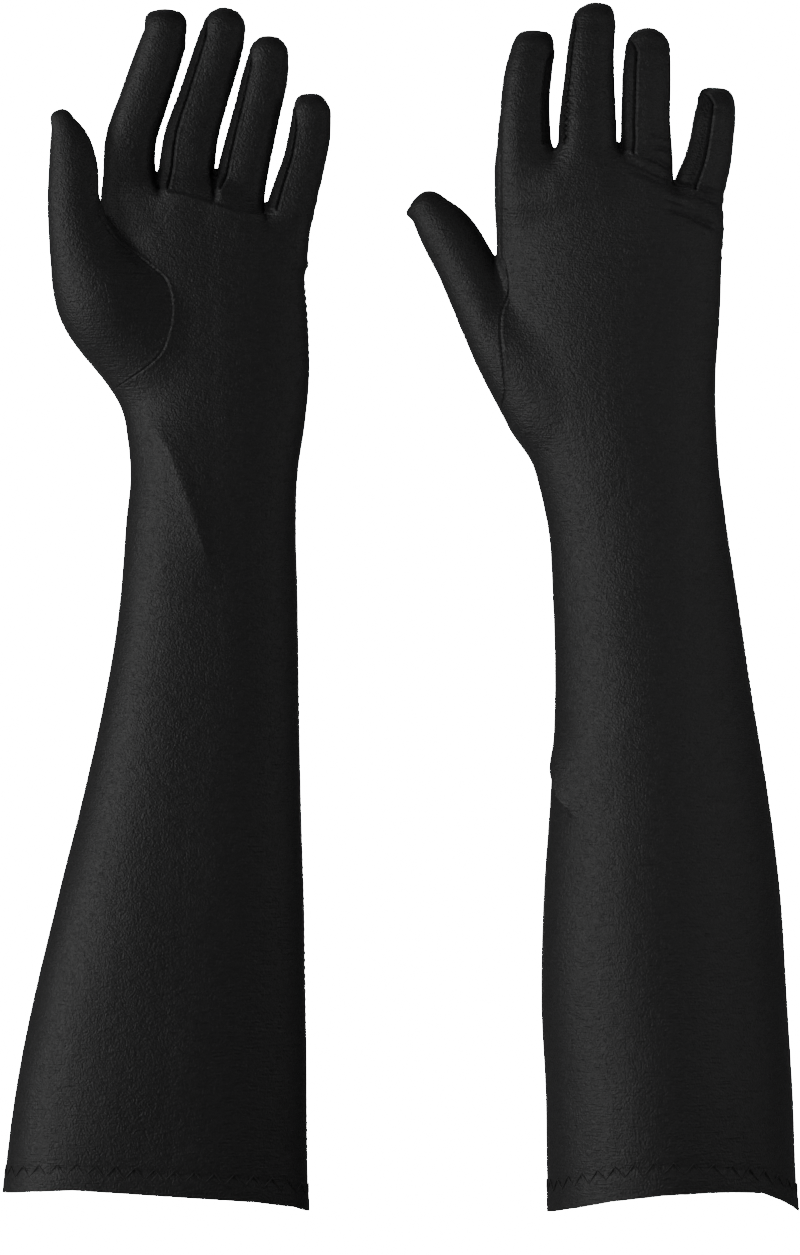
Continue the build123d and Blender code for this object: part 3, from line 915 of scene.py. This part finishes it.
def satin(name, tone, grain, shine):
    """Black stretch satin: a fine knit that sparkles in the light, soft broad shine."""
    mat, tree, shader = new_material(name)
    settle(shader, Specular_IOR_Level=shine, Sheen_Weight=0.12, Sheen_Roughness=0.5,
           Sheen_Tint=(0.8, 0.8, 0.82, 1))
    uv = node(tree, "ShaderNodeUVMap")
    uv.uv_map = "cloth"
    place = node(tree, "ShaderNodeTexCoord")
    speck = node(tree, "ShaderNodeTexNoise", Scale=1300.0, Detail=1.0, Roughness=0.6)
    cloud = node(tree, "ShaderNodeTexNoise", Scale=520.0, Detail=2.0, Roughness=0.6)
    # courses of the knit: short dashes lying round the arm, about 0.6 mm apart
    dash_size = node(tree, "ShaderNodeMapping", Scale=(260.0, 1300.0, 1.0))
    dashes = node(tree, "ShaderNodeTexNoise", Scale=1.0, Detail=2.0, Roughness=0.5)
    wire(tree, (uv, "UV", dash_size, "Vector"), (dash_size, "Vector", dashes, "Vector"),
         (place, "Object", speck, "Vector"), (place, "Object", cloud, "Vector"))

    def combine(a, a_out, b, share):
        mixed = node(tree, "ShaderNodeMix")
        mixed.data_type = "FLOAT"
        mixed.inputs["Factor"].default_value = share
        wire(tree, (a, a_out, mixed, "A"), (b, "Fac", mixed, "B"))
        return mixed

    knit = combine(combine(speck, "Fac", dashes, 0.45), "Result", cloud, 0.16)
    bump = node(tree, "ShaderNodeBump", Strength=grain, Distance=0.0010)
    ramp = node(tree, "ShaderNodeValToRGB")
    dark, light = ramp.color_ramp.elements
    dark.position, light.position = 0.35, 0.65
    dark.color = (*(0.6 * c for c in tone), 1)
    light.color = (*(1.4 * c for c in tone), 1)
    rough = node(tree, "ShaderNodeMapRange", To_Min=0.46, To_Max=0.58)
    wire(tree, (knit, "Result", bump, "Height"), (bump, "Normal", shader, "Normal"),
         (knit, "Result", ramp, "Fac"), (ramp, "Color", shader, "Base Color"),
         (cloud, "Fac", rough, "Value"), (rough, "Result", shader, "Roughness"))
    return mat


def sewing_thread():
    """Twisted matt thread."""
    mat, tree, shader = new_material("sewing_thread")
    settle(shader, Specular_IOR_Level=0.36, Sheen_Weight=0.1)
    place = node(tree, "ShaderNodeTexCoord")
    twist = node(tree, "ShaderNodeTexNoise", Scale=2500.0, Detail=2.0)
    ramp = node(tree, "ShaderNodeValToRGB")
    ramp.color_ramp.elements[0].color = (0.006, 0.006, 0.006, 1)
    ramp.color_ramp.elements[1].color = (0.018, 0.018, 0.018, 1)
    bump = node(tree, "ShaderNodeBump", Strength=0.5, Distance=0.0002)
    rough = node(tree, "ShaderNodeMapRange", To_Min=0.52, To_Max=0.68)
    wire(tree, (place, "Object", twist, "Vector"),
         (twist, "Fac", ramp, "Fac"), (ramp, "Color", shader, "Base Color"),
         (twist, "Fac", bump, "Height"), (bump, "Normal", shader, "Normal"),
         (twist, "Fac", rough, "Value"), (rough, "Result", shader, "Roughness"))
    return mat


# ---- putting a glove together
LEAST_SIDE = 0.0101     # least flat size that a panel's sides are clamped to, in metres


def declare_sheet(obj, wide, long):
    """Works out a panel's flat width and length, neither under LEAST_SIDE; the values are not kept."""
    wide, long = max(wide, LEAST_SIDE), max(long, LEAST_SIDE)


def sewn_group(panel):
    """Panels that run on smoothly into one another; a seam divides one group from the next."""
    if panel.startswith("thumb"):
        return "thumb"
    return "walls" if "fourchette" in panel or panel == "webs" else "front"


def make_glove(side, glove, mats):
    field, chains = glove_field(glove)
    ends = np.concatenate([c[:, :3] + sign * c[:, 3:] for c in chains.values() for sign in (-1, 1)])
    rows = np.asarray(glove["sections"], float)
    low = (min(rows[:, 1].min(), ends[:, 0].min()) - 4, -rows[:, 3].max() / 2 - 6, -5)
    high = (max(rows[:, 2].max(), ends[:, 0].max()) + 4, rows[:, 3].max() / 2 + 6, ends[:, 2].max() + 5)
    points, quads = surface_net(field, low, high, STEP)
    points, normals = evened(field, points, quads)
    cloth = Cloth(points, normals, quads)
    sharpened(side, glove, cloth, chains, field)
    folds = cut_panels(side, glove, cloth, chains)
    rest = cloth.points.copy()
    cloth.points = rest + cloth.normals * relief(side, glove, cloth, chains)[:, None]
    groups = np.array([sewn_group(panel) for panel in cloth.panel])
    ways = {group: vertex_normals(cloth.points, cloth.tris[groups == group]) for group in set(groups)}
    uvs = panel_uvs(glove, chains, rest)
    pieces = {}
    for panel in sorted(set(cloth.panel)):
        tris = cloth.tris[cloth.panel == panel]
        normals = ways[sewn_group(panel)]
        uv = uvs[panel] if panel in uvs else uvs[panel.split("_")[0]]
        # side-wall panels take the darker, less shiny satin: painted shade between the fingers
        slot = "fourchette" if sewn_group(panel) == "walls" else "fabric"
        obj = thick_piece(f"{side}_{panel}_cloth", cloth.points, normals, tris, uv, mats[slot])
        pieces[panel] = obj
        area = 0.5 * np.linalg.norm(face_normals(cloth.points, tris), axis=1).sum() * MM * MM
        extent = np.ptp(cloth.points[np.unique(tris)], axis=0) * MM
        wide = max(area / extent[2] * 1.15, extent[0] * 1.1)
        if panel in ("sleeve", "hem"):
            wide = max(wide, math.pi * math.sqrt((extent[0] ** 2 + extent[1] ** 2) / 2))
        declare_sheet(obj, wide, extent[2] * 1.02)

    sleeve, hand = f"{side}_sleeve", f"{side}_hand"
    wrist = np.array(joint_named(f"{side}_wrist")["pos_m"])

    def across_wrist(obj):
        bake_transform(obj)

    across_wrist(pieces["sleeve"])
    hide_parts(sleeve)
    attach(pieces["hem"], sleeve)
    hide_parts(f"{side}_hem")
    for panel, cad_node in (("hand", "hand"), ("webs", "finger_webs"), ("thumb_gusset", "thumb_gusset")):
        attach(pieces[panel], hand)
        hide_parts(f"{side}_{cad_node}")
    for name in DIGITS:
        bodies = (hand, f"{side}_{name}_base", f"{side}_{name}_tip")
        for suffix in ("", "_fourchette"):
            for part, fold, below, body in zip(("root", "tip"), folds[name], bodies, bodies[1:]):
                obj = pieces.get(f"{name}_{part}{suffix}")
                if obj is not None:
                    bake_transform(obj)
                    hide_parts(f"{body}{suffix}")

    threads = {"hem_stitch": zigzag_row(side, glove, mats["thread"])}
    split = wrist[2] / MM + WRIST_HALF
    for part, low, high in (("sleeve", SEAM_LOW, split), ("hand", split, SEAM_TOP)):
        name = f"{side}_{part}_seam_stitches"
        threads[f"{part}_seam"] = seam_row(name, glove, low, high, mats["thread"])
    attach(threads["hem_stitch"], sleeve)
    across_wrist(threads["sleeve_seam"])
    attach(threads["hand_seam"], hand)
    for cad_node, obj in threads.items():
        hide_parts(f"{side}_{cad_node}")


# ---- stage, lights and camera
CAMERA_FAR = 4.0
FRAME_TALL = 1.038     # height of the picture, in heights of the object
CAMERA_HIGH = 0.4834   # height of the camera, in heights of the object
STAGE_REACH = 6.0      # half the side of the floor
STAGE_GLOW = 30.0      # white to the camera
ROOM_LIGHT = 0.045     # light that comes from all round
# name: place, aim, size, watts, and whether the gloves shade each other from it
LIGHTS = {
    "key": ((-1.42, -0.80, 0.30), (-0.02, 0, 0.24), (0.5, 1.3), 15.9, True),
    "key_wrap": ((-1.42, -0.80, 0.30), (-0.02, 0, 0.24), (0.5, 1.3), 10.6, False),
    "fill": ((1.3, -0.30, 0.25), (0.1, 0, 0.24), (0.3, 1.2), 2.6, True),
    "front": ((0.28, -0.22, 0.25), (0.11, -0.03, 0.24), (0.15, 1.2), 0.46, True),
    "back": ((0.0, 1.4, 0.26), (0, 0, 0.24), (0.5, 1.2), 5, True),
}


def stage():
    """Plain white floor and surroundings: white to the camera, dimmer as a light source."""
    floor = bpy.data.meshes.new("floor")
    corners = [(x * STAGE_REACH, y * STAGE_REACH, -0.0005) for x, y in ((-1, -1), (1, -1), (1, 1), (-1, 1))]
    floor.from_pydata(corners, [], [(0, 1, 2, 3)])
    obj = add_object("floor", floor)
    mat, tree, shader = new_material("white_floor")
    settle(shader, Base_Color=(0.85, 0.85, 0.85, 1), Roughness=0.9, Specular_IOR_Level=0.0)
    glow = node(tree, "ShaderNodeEmission", Strength=STAGE_GLOW)
    seen = node(tree, "ShaderNodeLightPath")
    dim = node(tree, "ShaderNodeBsdfDiffuse", Color=(0.25, 0.25, 0.25, 1))
    add = node(tree, "ShaderNodeAddShader")
    pick = node(tree, "ShaderNodeMixShader")
    wire(tree, (shader, "BSDF", add, 0), (glow, "Emission", add, 1), (seen, "Is Camera Ray", pick, "Fac"),
         (dim, "BSDF", pick, 1), (add, "Shader", pick, 2),
         (pick, "Shader", tree.nodes["Material Output"], "Surface"))
    floor.materials.append(mat)
    obj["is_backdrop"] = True
    world = bpy.data.worlds.new("studio")
    bpy.context.scene.world = world
    world.use_nodes = True
    tree = world.node_tree
    back = tree.nodes["Background"]
    settle(back, Color=(1, 1, 1, 1))
    seen = node(tree, "ShaderNodeLightPath")
    strength = node(tree, "ShaderNodeMapRange", To_Min=ROOM_LIGHT, To_Max=STAGE_GLOW + 1.0)
    wire(tree, (seen, "Is Camera Ray", strength, "Value"), (strength, "Result", back, "Strength"))


def soft_light(name, place, aim, size, watts, shadow):
    data = bpy.data.lights.new(name, "AREA")
    data.use_shadow = shadow
    data.shape = "RECTANGLE"
    data.size, data.size_y = size
    data.energy = watts
    obj = add_object(name, data)
    obj.location = place
    way = Vector(aim) - Vector(place)
    obj.rotation_euler = way.to_track_quat("-Z", "Y").to_euler()
    obj.visible_camera = False


def camera():
    """Looks level along +Y from far away, so that the gloves are seen as if flat on."""
    low, high = cad_box
    tall = (high[2] - low[2]) * FRAME_TALL
    data = bpy.data.cameras.new("camera")
    data.sensor_fit = "VERTICAL"
    data.sensor_height = 36.0
    data.lens = data.sensor_height * CAMERA_FAR / tall
    data.clip_end = 50
    obj = add_object("camera", data)
    obj.location = (0.0, -CAMERA_FAR, low[2] + (high[2] - low[2]) * CAMERA_HIGH)
    obj.rotation_euler = (math.pi / 2, 0, 0)
    bpy.context.scene.camera = obj


def main():
    camera()
    stage()
    for name, settings in LIGHTS.items():
        soft_light(name, *settings)
    mats = {
        "fabric": satin("stretch_satin", (0.009, 0.009, 0.0093), 0.9, 0.42),
        # side walls: a darker tone and half the shine of the front cloth, painted shade between the fingers
        "fourchette": satin("stretch_satin_side_walls_painted_shade", (0.006, 0.006, 0.0062), 0.9, 0.20),
        "thread": sewing_thread(),
    }
    for side, glove in GLOVES.items():
        make_glove(side, glove, mats)
    boxes = {"cad": cad_box, "visual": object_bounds()}
    plain = {k: [[float(c) for c in corner] for corner in v] for k, v in boxes.items()}


main()
